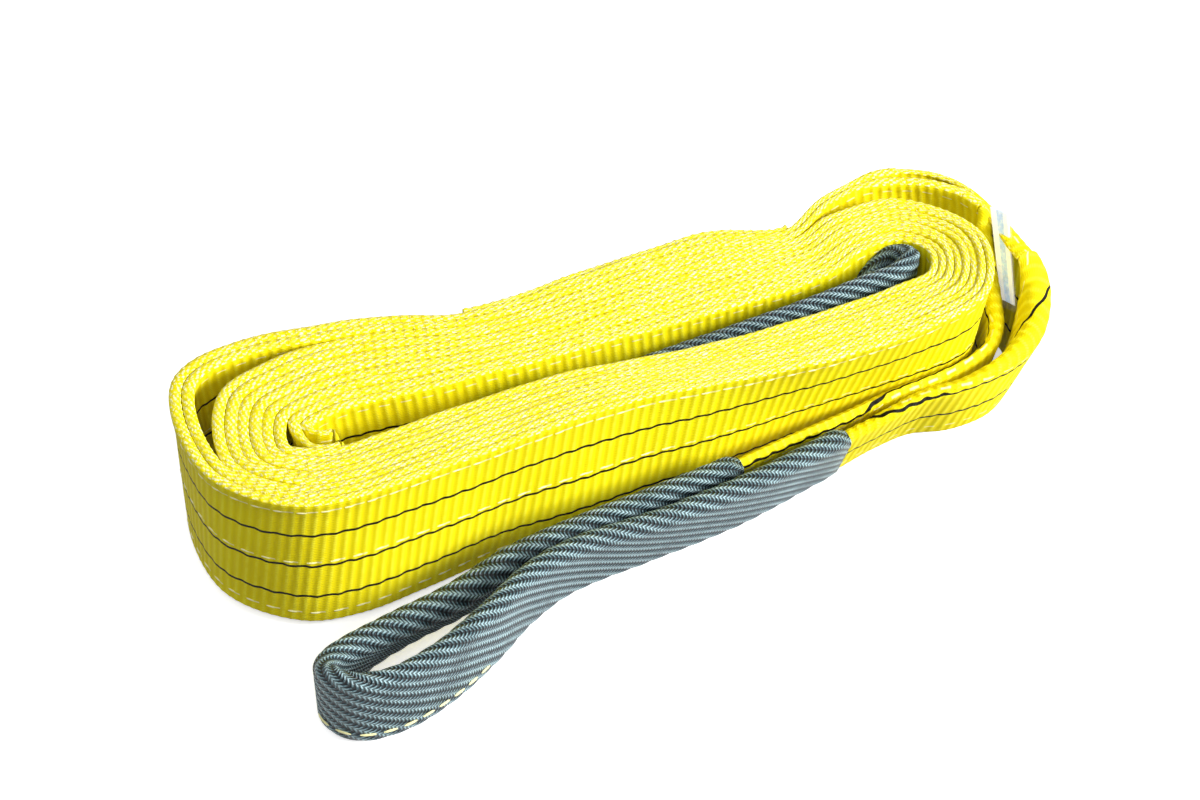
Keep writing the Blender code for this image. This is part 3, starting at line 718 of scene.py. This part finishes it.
# ---- materials
class Graph:
    """Short names for shader nodes."""

    def __init__(self, name):
        self.material = bpy.data.materials.new(name)
        self.material.use_nodes = True
        self.tree = self.material.node_tree
        self.shader = self.tree.nodes["Principled BSDF"]

    def node(self, kind, **settings):
        made = self.tree.nodes.new(kind)
        for key, value in settings.items():
            setattr(made, key, value)
        return made

    def put(self, socket, value):
        if hasattr(value, "is_output"):
            self.tree.links.new(value, socket)
        else:
            socket.default_value = value

    def math(self, operation, a, b=0.0):
        made = self.node("ShaderNodeMath", operation=operation)
        self.put(made.inputs[0], a)
        self.put(made.inputs[1], b)
        return made.outputs[0]

    def times(self, a, b):
        return self.math("MULTIPLY", a, b)

    def plus(self, a, b):
        return self.math("ADD", a, b)

    def attribute(self, name):
        made = self.node("ShaderNodeAttribute", attribute_name=name)
        split = self.node("ShaderNodeSeparateXYZ")
        self.put(split.inputs[0], made.outputs["Vector"])
        return split.outputs

    def sine(self, value, period, phase=0.0):
        turned = self.math("MULTIPLY_ADD", value, 2 * math.pi / period)
        turned.node.inputs[2].default_value = phase
        return self.math("SINE", turned)

    def ramp(self, value, low, high, start=0.0, end=1.0):
        made = self.node("ShaderNodeMapRange", interpolation_type="SMOOTHSTEP")
        for socket, item in zip(made.inputs, (value, low, high, start, end)):
            self.put(socket, item)
        return made.outputs[0]

    def band(self, value, centre, half, soft):
        away = self.math("ABSOLUTE", self.math("SUBTRACT", value, centre))
        return self.ramp(away, half - soft, half + soft, 1.0, 0.0)

    def mix(self, share, a, b):
        made = self.node("ShaderNodeMix", data_type="RGBA")
        self.put(made.inputs[0], share)
        self.put(made.inputs[6], a)
        self.put(made.inputs[7], b)
        return made.outputs[2]

    def vector(self, x, y, z):
        made = self.node("ShaderNodeCombineXYZ")
        for socket, item in zip(made.inputs, (x, y, z)):
            self.put(socket, item)
        return made.outputs[0]

    def noise(self, vector, scale, detail=2.0, roughness=0.5):
        made = self.node("ShaderNodeTexNoise")
        self.put(made.inputs["Vector"], vector)
        made.inputs["Scale"].default_value = scale
        made.inputs["Detail"].default_value = detail
        made.inputs["Roughness"].default_value = roughness
        return made.outputs[0]

    def bump(self, height, distance, strength=1.0):
        made = self.node("ShaderNodeBump")
        made.inputs["Strength"].default_value = strength
        made.inputs["Distance"].default_value = distance
        self.put(made.inputs["Height"], height)
        self.put(self.shader.inputs["Normal"], made.outputs[0])

    def finish(self, colour, roughness, sheen=0.0, specular=0.5):
        self.put(self.shader.inputs["Base Color"], colour)
        self.put(self.shader.inputs["Roughness"], roughness)
        self.shader.inputs["Sheen Weight"].default_value = sheen
        self.shader.inputs["Sheen Tint"].default_value = WHITE
        self.shader.inputs["Specular IOR Level"].default_value = specular
        return self.material


def webbing_material():
    """Ribbed yellow weave with black marker yarns and sewing, painted light and shade on the ribs and weft,
    and painted highlights on the selvedge yarn loops.
    """
    g = Graph("yellow_webbing")
    run, width, face = g.attribute("strap")
    turn, mark, seed = g.attribute("edge")
    place = g.vector(run, width, g.times(face, 40.0))
    slow = g.noise(place, 0.02, 2.0)
    slow_place = g.vector(g.times(run, 0.12), g.times(width, 0.3), seed)
    cloudy = g.noise(slow_place, 0.9, 3.0, 0.6)
    on_face = g.ramp(g.math("ABSOLUTE", face), 0.4, 0.9)
    ribs = g.sine(g.plus(run, g.times(width, RIB_SLANT)), RIB_PITCH)
    rib_height = g.times(g.plus(ribs, 1.0), 0.5)
    weft = g.sine(g.plus(width, g.times(g.sine(run, 2.6), 0.22)), 1.3)
    colour = g.mix(g.ramp(slow, 0.35, 0.65), YELLOW, g.mix(0.5, YELLOW, DEEP_YELLOW))
    # painted highlight on the rib crests, painted shade in the rib troughs and along the weft lines; the ribs
    # themselves are real relief
    lit_rib = g.times(g.ramp(rib_height, 0.55, 1.0), g.ramp(weft, -0.8, 0.6, 0.25, 1.0))
    lit_rib = g.times(lit_rib, g.ramp(cloudy, 0.3, 0.7, 0.25, 0.8))
    colour = g.mix(g.times(lit_rib, on_face), colour, PALE_YELLOW)
    low_rib = g.times(g.ramp(rib_height, 0.45, 0.0), g.times(on_face, 0.20))
    colour = g.mix(low_rib, colour, RIB_SHADE)
    threads = g.times(g.ramp(weft, -0.2, -1.0), g.times(on_face, 0.30))
    colour = g.mix(threads, colour, WEFT_SHADE)

    wave = g.times(g.sine(g.plus(run, g.times(slow, 14.0)), 12.0), 0.42)
    wave = g.plus(wave, g.times(g.math("SUBTRACT", slow, 0.5), 3.0))
    marks = 0.0
    for centre in STRIPES:
        line = g.band(width, g.plus(wave, centre), 0.80, 0.20)
        marks = g.math("MAXIMUM", marks, line)
    marks = g.times(marks, on_face)
    colour = g.mix(marks, colour, BLACK_YARN)

    dash = g.ramp(g.sine(run, STITCH_PITCH), -0.10, 0.15)
    sewn = 0.0
    for share in STITCH_ROWS:
        drift = g.times(g.math("SUBTRACT", slow, 0.5), 2.0)
        row = g.band(width, g.plus(drift, share * WEB_WIDTH), 0.45, 0.25)
        sewn = g.math("MAXIMUM", sewn, row)
    sewn = g.times(g.times(sewn, dash), g.times(on_face, 0.75))
    colour = g.mix(sewn, colour, STITCH_WHITE)

    # painted highlight: pale dashes over the selvedge yarn loops stand for the light they catch; the same
    # mask also raises their real bump
    uneven = g.noise(g.vector(run, g.times(turn, 3.0), seed), 0.22, 3.0, 0.65)
    wobble = g.times(uneven, 11.0)
    place_across = g.plus(g.times(turn, 3.4), g.times(uneven, 4.5))
    pips = 0.0
    for offset in (0.0, math.pi):
        along_row = g.sine(g.plus(run, wobble), PIP_PITCH, offset)
        in_row = g.sine(place_across, 3.0, offset)
        pip = g.times(g.ramp(along_row, -0.15, 0.5), g.ramp(in_row, 0.0, 0.7))
        pips = g.math("MAXIMUM", pips, pip)
    on_edge = g.ramp(g.math("ABSOLUTE", mark), 0.3, 0.9)
    strand_place = g.vector(g.times(run, 0.4), g.times(turn, 7.0), seed)
    strand = g.noise(strand_place, 1.3, 2.0, 0.7)
    pips = g.times(pips, on_edge)
    pips = g.times(pips, g.ramp(strand, 0.34, 0.54, 0.1, 1.0))
    pips = g.times(pips, g.ramp(cloudy, 0.3, 0.6, 0.25, 1.0))
    colour = g.mix(pips, colour, SELVEDGE_HIGHLIGHT)

    height = g.times(rib_height, 0.55)
    height = g.plus(height, g.times(weft, 0.10))
    height = g.plus(height, g.times(pips, 0.25))
    height = g.math("SUBTRACT", height, g.times(marks, 0.2))
    g.bump(height, 0.0007, 1.0)
    return g.finish(colour, 0.6, specular=0.10)


def sleeve_material():
    """Slate weave: chevron yarns over thick ribs, with painted highlights on the rib crests and yarn tops,
    and painted shade in the grooves and between the yarns.
    """
    g = Graph("woven_sleeve")
    phase, along, _ = g.attribute("weave")
    place = g.vector(phase, along, 0.0)
    slow = g.noise(place, 0.06, 2.0)
    ridge = g.math("ABSOLUTE", g.math("COSINE", g.times(phase, math.pi)))
    chevron = g.math("ABSOLUTE", g.math("SINE", g.times(phase, math.pi)))
    yarn = g.sine(g.plus(along, g.times(chevron, 2.2)), 2.3)
    fibre = g.noise(g.vector(g.times(phase, 5.0), along, 3.0), 1.1, 3.0, 0.6)
    # painted shade between the yarns, then painted highlight on their tops
    colour = g.mix(g.ramp(yarn, -0.7, 0.3), SLEEVE_GAP_SHADE, SLEEVE_SLATE)
    shine = g.times(g.ramp(yarn, 0.15, 0.9), g.ramp(fibre, 0.35, 0.62, 0.04, 0.50))
    colour = g.mix(shine, colour, SLEEVE_HIGHLIGHT)
    # painted highlight along the rib crests
    crest = g.times(g.ramp(ridge, 0.72, 0.97), g.ramp(slow, 0.25, 0.6, 0.30, 0.85))
    crest = g.times(crest, g.ramp(yarn, -0.7, 0.4, 0.25, 1.0))
    colour = g.mix(crest, colour, SLEEVE_HIGHLIGHT)
    # painted shade in the grooves between the ribs
    groove = g.ramp(ridge, 0.55, 0.05)
    colour = g.mix(g.times(groove, 0.9), colour, SLEEVE_GAP_SHADE)
    height = g.plus(g.times(ridge, 0.4), g.times(yarn, 0.5))
    height = g.plus(height, g.times(fibre, 0.3))
    g.bump(height, 0.0009, 1.0)
    return g.finish(colour, 0.45, specular=0.45)


def thread_material():
    """Pale twisted sewing thread."""
    g = Graph("pale_thread")
    where = g.node("ShaderNodeTexCoord").outputs["Object"]
    twist = g.node("ShaderNodeTexWave", wave_type="BANDS", bands_direction="DIAGONAL")
    g.put(twist.inputs["Vector"], where)
    twist.inputs["Scale"].default_value = 900.0
    twist.inputs["Distortion"].default_value = 1.5
    shade = g.mix(g.times(twist.outputs["Fac"], 0.5), STITCH_WHITE, STITCH_SHADE)
    g.bump(twist.outputs["Fac"], 0.0002, 0.6)
    return g.finish(shade, 0.5, sheen=0.2)


def tag_material():
    g = Graph("printed_tag")
    run, width, face = g.attribute("strap")
    stripe = g.band(run, 6.0, 2.2, 0.4)
    colour = g.mix(stripe, TAG_PALE, TAG_BLUE)
    grain = g.noise(g.vector(run, width, face), 0.5, 3.0)
    colour = g.mix(g.ramp(grain, 0.4, 0.7, 0.0, 0.5), colour, TAG_PALE)
    # painted glow: the tag shines by itself to lift it out of the shade between the coils
    g.put(g.shader.inputs["Emission Color"], colour)
    g.shader.inputs["Emission Strength"].default_value = TAG_PAINTED_GLOW
    g.bump(grain, 0.0001, 0.4)
    return g.finish(colour, 0.35)


def cover_material():
    g = Graph("clear_cover")
    run, width, _ = g.attribute("strap")
    haze = g.noise(g.vector(run, width, 0.0), 0.25, 3.0)
    g.put(g.shader.inputs["Alpha"], g.ramp(haze, 0.3, 0.75, 0.03, 0.12))
    colour = g.mix(haze, FILM_CLEAR, FILM_HAZE)
    g.bump(haze, 0.0002, 0.4)
    return g.finish(colour, 0.15)


# ---- the sling
def place(piece, node, slot, look, body="coil"):
    """Gives a piece its look, hides the CAD node that it stands for and, unless it bends, attaches it to its
    body; the slot is not used.
    """
    piece.data.materials.clear()
    piece.data.materials.append(look)
    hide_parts(node)
    if body:
        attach(piece, body)
    return piece


def bend_with_eye(piece):
    """Bakes the piece's placement into its mesh."""
    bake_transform(piece)


def rolled_end(line):
    """The last of the outer ply, where its upper edge begins to roll inwards."""
    foot = np.column_stack([line[:, 2:4], line[:, 4]])
    shift = line[:, 0:2] - line[:, 2:4]
    up = unit(np.column_stack([shift, np.full(len(line), WEB_WIDTH - CAP)]))
    right = right_of(line[:, 0:2], up)
    share = smooth_step(line[:, 6], line[0, 6], line[-1, 6])
    full = WEB_WIDTH - CAP - FOLD_CLEARANCE
    height = full - share * (full - ROLLED_HEIGHT)
    return rolled_ribbon(foot, up, right, height, np.full(len(line), LOOSE_FOLD), 1, line[:, 6])


def body_plies(look):
    """The two plies of the body; returns the outer one as a ribbon, its path, distances and last turn."""
    outer = None
    for name, side, seed in (("body_outer_ply", 1, 0.4), ("body_inner_ply", -1, 0.9)):
        path, last_row = ply_path(side)
        gaps = np.linalg.norm(np.diff(path[:, 0:2], axis=0), axis=1)
        run = np.concatenate([[0.0], np.cumsum(gaps)])
        line = evenly(path, ALONG)
        if side > 0:
            cut = int(np.searchsorted(line[:, 6], line[-1, 6] - ROLLED_END))
            ribbons = [standing_ribbon(line[:cut + 1], seed), rolled_end(line[cut:])]
            outer = (standing_ribbon(line, seed), path, run, last_row)
        else:
            ribbons = [standing_ribbon(line, seed)]
        shells = [ribbon.shell(seed=seed) for ribbon in ribbons]
        piece = place(make_object(name, shells), name, "webbing", look)
    return outer


def lap(path, last_row, look, thread):
    """The end of the web, lapped over the outer ply on the back run and sewn down."""
    back = path[last_row:]
    back = back[(back[:, 0] > LAP_START_X) & (back[:, 0] < LAP_END_X)].copy()
    back[:, 0:2] = sideways(back[:, 0:2], rim_room(back) / 4 + LAP_OUTWARD)
    back[:, 2:4] = sideways(back[:, 2:4], PLY_STEP)
    line = evenly(back, ALONG)
    ribbon = standing_ribbon(line, 2.2, height=LAP_WIDTH, low=LAP_FOOT, rim_swell=False)
    made = make_object("lap_tail_ply", [ribbon.shell(pips=0.9, seed=2.2)])
    place(made, "lap_tail_ply", "webbing", look)
    length = line[-1, 6]
    seats = zigzag(ribbon, 8.0, length - 8.0, rows=9, first=8.0, spacing=9.2,
                   dash=5.5, pitch=8.0, drift=2.4, stagger=4.0)
    place(stitches("lap_stitching", seats), "lap_stitching", "thread", thread)


def exposed_rows(ribbon, path, run, last_row, thread):
    """Sewing that shows on the outside of the coil, and at the throat of the outer eye."""
    front_row = last_row - FRONT_STEPS * FINE
    lap_row = last_row + int(np.argmax(path[last_row:, 0] > LAP_START_X - 8.0))
    for label, share, from_x in zip(("lower", "middle", "upper"), STITCH_ROWS, STITCH_FROM_X):
        start = front_row
        while path[start, 0] > from_x:
            start += 1
        seats = row_of_seats(ribbon, run[start], run[lap_row], share * WEB_WIDTH)
        name = "stitch_row_" + label
        place(stitches(name, seats), name, "thread", thread)
    seats = zigzag(ribbon, run[-1] - THROAT[0], run[-1] - THROAT[1], rows=5, first=14.0, spacing=15.5,
                   dash=5.0, pitch=7.5, drift=3.0)
    place(stitches("throat_stitching", seats), "throat_stitching", "thread", thread)


def outer_eye(web_look, sleeve_look, thread):
    def sleeved(foot):
        return 1.0 - smooth_step(foot[:, 0], *OUTER_COVERED)

    def loose(foot, distance):
        near_loop = smooth_step(foot[:, 0], *LOOP_LOOSENS)
        front = distance < distance[-1] / 2
        return FOLD_RADIUS + near_loop * np.where(front, LOOSE_FOLD - FOLD_RADIUS, 1.0)

    def kept(share, foot):
        return foot[0] < OUTER_SLEEVE_MOUTHS[0 if share < 0.5 else 1]

    ribbon = folded_ribbon(OUTER_EYE, 1, sleeved, loose)
    web = make_object("outer_eye_web", [ribbon.shell(seed=3.1)])
    place(web, "outer_eye_web", "webbing", web_look, body=None)
    cover, flat = sleeve("outer_eye_sleeve", OUTER_EYE, OUTER_SLEEVE, OUTER_FOLD, kept)
    place(cover, "outer_eye_sleeve", "sleeve", sleeve_look, body=None)
    hem = hem_stitch("outer_sleeve_hem_stitch", OUTER_EYE, OUTER_SLEEVE[0] / 2)
    place(hem, "outer_sleeve_hem_stitch", "thread", thread, body=None)
    for piece in (web, cover, hem):
        bend_with_eye(piece)
    flat = (WEB_WIDTH * MM, round(ribbon.distance[-1] * MM, 3))


def hem_stitch(name, controls, half_thickness):
    """A running stitch along the lower outside edge of a sleeve, round the tip of the eye."""
    foot, up, right, _, distance = eye_frames(controls)
    seats = []
    start, end = [distance[-1] * share for share in HEM_SPAN]
    while start + HEM_DASH < end:
        seat = []
        for part in STITCH_PARTS:
            at = start + HEM_DASH * part
            f, u, r = [np.array([np.interp(at, distance, column) for column in field.T])
                       for field in (foot, up, right)]
            u, r = unit(u), unit(r)
            seat.append((f + u * HEM_HEIGHT - r * (half_thickness + HEM_PROUD), u, -r))
        seats.append(seat)
        start += HEM_PITCH
    return stitches(name, seats, thick=0.7, broad=0.75)


def inner_eye(web_look, sleeve_look):
    def sleeved(foot):
        return smooth_step(foot[:, 0], *INNER_COVERED)

    def loose(foot, distance):
        return np.full(len(foot), FOLD_RADIUS)

    def kept(share, foot):
        return foot[0] > INNER_SLEEVE_END_X

    ribbon = folded_ribbon(INNER_EYE, -1, sleeved, loose)
    web = make_object("inner_eye_web", [ribbon.shell(seed=4.0)])
    place(web, "inner_eye_web", "webbing", web_look)
    flat = (WEB_WIDTH * MM, round(ribbon.distance[-1] * MM, 3))
    cover, flat = sleeve("inner_eye_sleeve", INNER_EYE, INNER_SLEEVE, INNER_FOLD, kept,
                         rib=5.4, slant=32.0, depth=0.7, seed=2.0)
    place(cover, "inner_eye_sleeve", "sleeve", sleeve_look)


def label(tag_look, cover_look):
    """The tag and the film folded round it, leaning from the line at the foot to the line at the top."""
    line = evenly(np.column_stack([spline(TAG_TOP, 12), spline(TAG_FOOT, 12)]), LABEL_STEP)
    low, high = TAG_LEVELS

    def plate(name, slot, look, half, rows, margin):
        levels = np.linspace(low - margin, high + margin, 9)
        middle = np.stack([np.column_stack([rows[:, 2:4] + (rows[:, 0:2] - rows[:, 2:4]) * at,
                                            np.full(len(rows), level)])
                           for at, level in zip((levels - low) / (high - low), levels)], axis=1)
        width = np.repeat(levels[None, :], len(rows), axis=0)
        ribbon = Ribbon(middle, np.full(width.shape, half), rows[:, 4], width)
        piece = make_object(name, [ribbon.shell(cap=half, pips=0.0, ribs=0.0)])
        place(piece, name, slot, look, body="label")

    plate("label_tag", "tag", tag_look, TAG_HALF, line, -TAG_HALF)
    away = TAG_HALF + FILM_GAP + FILM_HALF
    sides = [np.column_stack([sideways(line[:, 0:2], gap), sideways(line[:, 2:4], gap)])
             for gap in (away, -away)]
    ahead = unit(line[-1, 0:2] - line[-2, 0:2]) * (away + TAG_HALF)
    end = np.concatenate([line[-1, 0:2] + ahead, line[-1, 2:4] + ahead])
    around = evenly(np.vstack([sides[0], end, sides[1][::-1]]), LABEL_STEP)
    plate("label_cover", "cover", cover_look, FILM_HALF, around, FILM_MARGIN)


def floor():
    bpy.ops.mesh.primitive_plane_add(size=FLOOR_SIZE, location=(0.0, 0.0, FLOOR_LEVEL))
    plane = bpy.context.object
    plane.name = "floor"
    g = Graph("pale_floor")
    where = g.node("ShaderNodeTexCoord").outputs["Object"]
    colour = g.mix(g.noise(where, 3.0), FLOOR_GREY, FLOOR_PALE)
    g.shader.inputs["Emission Color"].default_value = WHITE
    g.shader.inputs["Emission Strength"].default_value = FLOOR_GLOW
    plane.data.materials.append(g.finish(colour, 0.9, specular=0.1))
    plane.visible_diffuse = False


def area_light(name, place_at, target, size, power):
    data = bpy.data.lights.new(name, "AREA")
    data.shape = "DISK"
    data.size = size
    data.energy = power
    light = bpy.data.objects.new(name, data)
    light.location = place_at
    light.rotation_euler = (Vector(place_at) - Vector(target)).to_track_quat("Z", "Y").to_euler()
    bpy.context.scene.collection.objects.link(light)


def studio():
    scene = bpy.context.scene
    world = bpy.data.worlds.new("studio")
    world.use_nodes = True
    tree = world.node_tree
    where = tree.nodes.new("ShaderNodeTexCoord")
    split = tree.nodes.new("ShaderNodeSeparateXYZ")
    rise = tree.nodes.new("ShaderNodeMapRange")
    tree.links.new(where.outputs["Generated"], split.inputs[0])
    tree.links.new(split.outputs["Z"], rise.inputs["Value"])
    rise.inputs["From Min"].default_value = WORLD_RISE[0]
    rise.inputs["From Max"].default_value = WORLD_RISE[1]
    rise.inputs["To Min"].default_value = WORLD_BELOW
    rise.inputs["To Max"].default_value = WORLD_ABOVE
    tree.links.new(rise.outputs[0], tree.nodes["Background"].inputs["Strength"])
    tree.nodes["Background"].inputs["Color"].default_value = WHITE
    scene.world = world
    area_light("fill", *FILL_LIGHT)
    area_light("key", *KEY_LIGHT)
    scene.view_settings.view_transform = "Standard"
    scene.view_settings.look = "None"


def camera():
    turn = math.radians(CAMERA_AZIMUTH)
    lift = math.radians(CAMERA_ELEVATION)
    back = Vector((math.sin(turn) * math.cos(lift), -math.cos(turn) * math.cos(lift), math.sin(lift)))
    right = Vector((math.cos(turn), math.sin(turn), 0.0))
    up = back.cross(right)
    data = bpy.data.cameras.new("camera")
    data.lens = CAMERA_LENS
    data.sensor_width = CAMERA_SENSOR
    seen = bpy.data.objects.new("camera", data)
    zero = Vector((LAYOUT_ZERO[0] * MM, LAYOUT_ZERO[1] * MM, 0.0))
    facing = Matrix((right, up, back)).transposed().to_4x4()
    seen.matrix_world = Matrix.Translation(zero + back * CAMERA_DISTANCE) @ facing
    bpy.context.scene.collection.objects.link(seen)
    bpy.context.scene.camera = seen


def main():
    camera()
    studio()
    floor()
    webbing = webbing_material()
    woven = sleeve_material()
    thread = thread_material()
    ribbon, path, run, last_row = body_plies(webbing)
    lap(path, last_row, webbing, thread)
    exposed_rows(ribbon, path, run, last_row, thread)
    outer_eye(webbing, woven, thread)
    inner_eye(webbing, woven)
    label(tag_material(), cover_material())


main()
